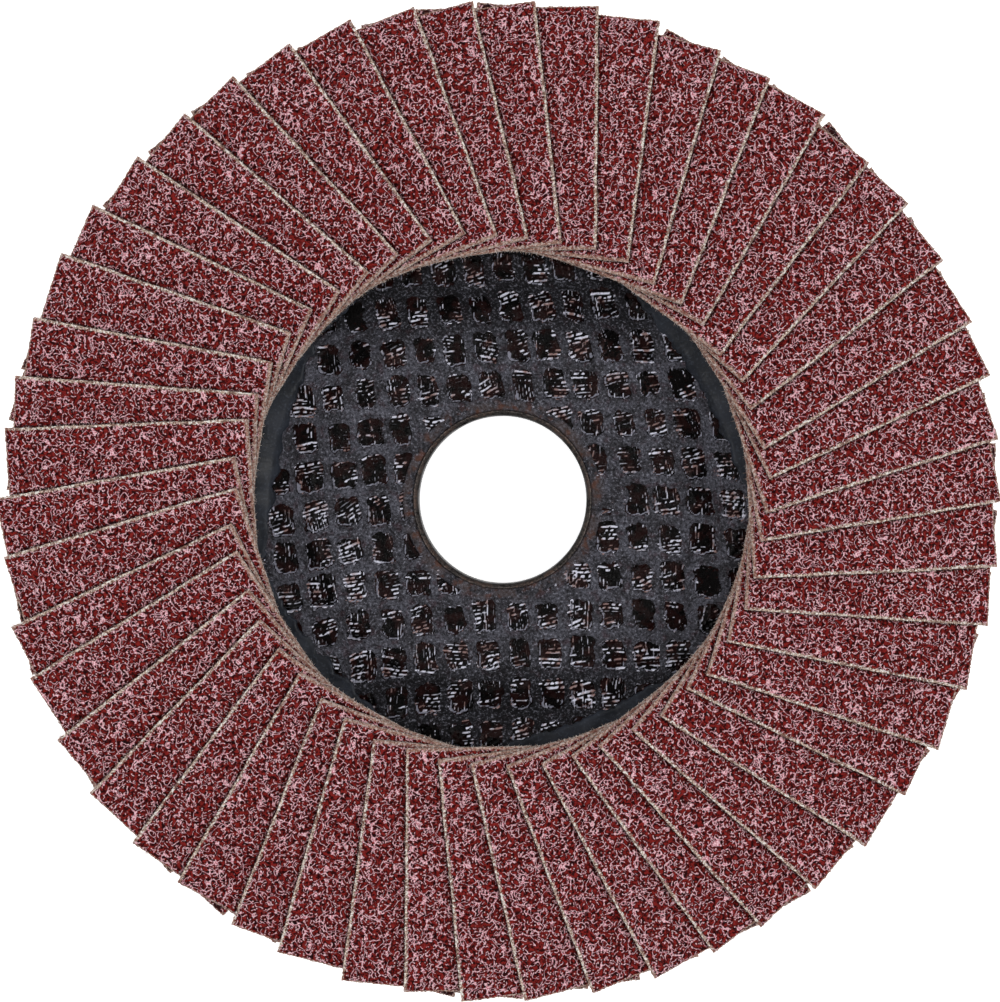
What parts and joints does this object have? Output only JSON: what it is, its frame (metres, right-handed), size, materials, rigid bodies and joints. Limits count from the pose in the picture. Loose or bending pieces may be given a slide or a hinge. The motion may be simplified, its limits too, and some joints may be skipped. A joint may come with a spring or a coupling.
{
  "type": "abrasive flap disc",
  "caption": "Flat round sanding disc for an angle grinder: overlapping red abrasive-cloth flaps glued to a glass-fibre plate with a sunken hub and a central bore.",
  "frame": {"origin": "on the spindle axis, in the plane of the steel centre ring's back face, which is the disc's lowest plane", "axes": "+Z along the spindle axis, out of the working face; +X and +Y in the plane of the disc, +Y up as the working face is seen from the front"},
  "size_m": [0.1284, 0.1287, 0.0155],
  "materials": {
    "abrasive_cloth": "stiff beige cotton-polyester cloth with coarse brick-red grain under a glossy resin size coat",
    "glass_mesh": "open glass-fibre mesh soaked in matte charcoal phenolic resin",
    "plate_resin": "glossy brown-black phenolic resin with glass strands in it",
    "adhesive": "satin slate-grey epoxy",
    "ring_steel": "thin pressed steel with light brown rust",
    "label_paper": "plain uncoated paper label"
  },
  "bodies": {
    "root": {"flap_01": "abrasive_cloth", "flap_02": "abrasive_cloth", "flap_03": "abrasive_cloth", "flap_04": "abrasive_cloth", "flap_05": "abrasive_cloth", "flap_06": "abrasive_cloth", "flap_07": "abrasive_cloth", "flap_08": "abrasive_cloth", "flap_09": "abrasive_cloth", "flap_10": "abrasive_cloth", "flap_11": "abrasive_cloth", "flap_12": "abrasive_cloth", "flap_13": "abrasive_cloth", "flap_14": "abrasive_cloth", "flap_15": "abrasive_cloth", "flap_16": "abrasive_cloth", "flap_17": "abrasive_cloth", "flap_18": "abrasive_cloth", "flap_19": "abrasive_cloth", "flap_20": "abrasive_cloth", "flap_21": "abrasive_cloth", "flap_22": "abrasive_cloth", "flap_23": "abrasive_cloth", "flap_24": "abrasive_cloth", "flap_25": "abrasive_cloth", "flap_26": "abrasive_cloth", "flap_27": "abrasive_cloth", "flap_28": "abrasive_cloth", "flap_29": "abrasive_cloth", "flap_30": "abrasive_cloth", "flap_31": "abrasive_cloth", "flap_32": "abrasive_cloth", "flap_33": "abrasive_cloth", "flap_34": "abrasive_cloth", "flap_35": "abrasive_cloth", "flap_36": "abrasive_cloth", "flap_37": "abrasive_cloth", "flap_38": "abrasive_cloth", "flap_39": "abrasive_cloth", "flap_40": "abrasive_cloth", "flap_41": "abrasive_cloth", "flap_42": "abrasive_cloth", "flap_43": "abrasive_cloth", "flap_44": "abrasive_cloth", "flap_45": "abrasive_cloth", "flap_46": "abrasive_cloth", "flap_47": "abrasive_cloth", "flap_48": "abrasive_cloth", "flap_49": "abrasive_cloth", "flap_50": "abrasive_cloth", "front_glass_ply": "glass_mesh", "middle_glass_ply": "glass_mesh", "back_glass_ply": "glass_mesh", "front_resin_layer": "plate_resin", "back_resin_layer": "plate_resin", "adhesive_ring": "adhesive", "steel_centre_ring": "ring_steel", "back_label": "label_paper"}
  },
  "joints": []
}
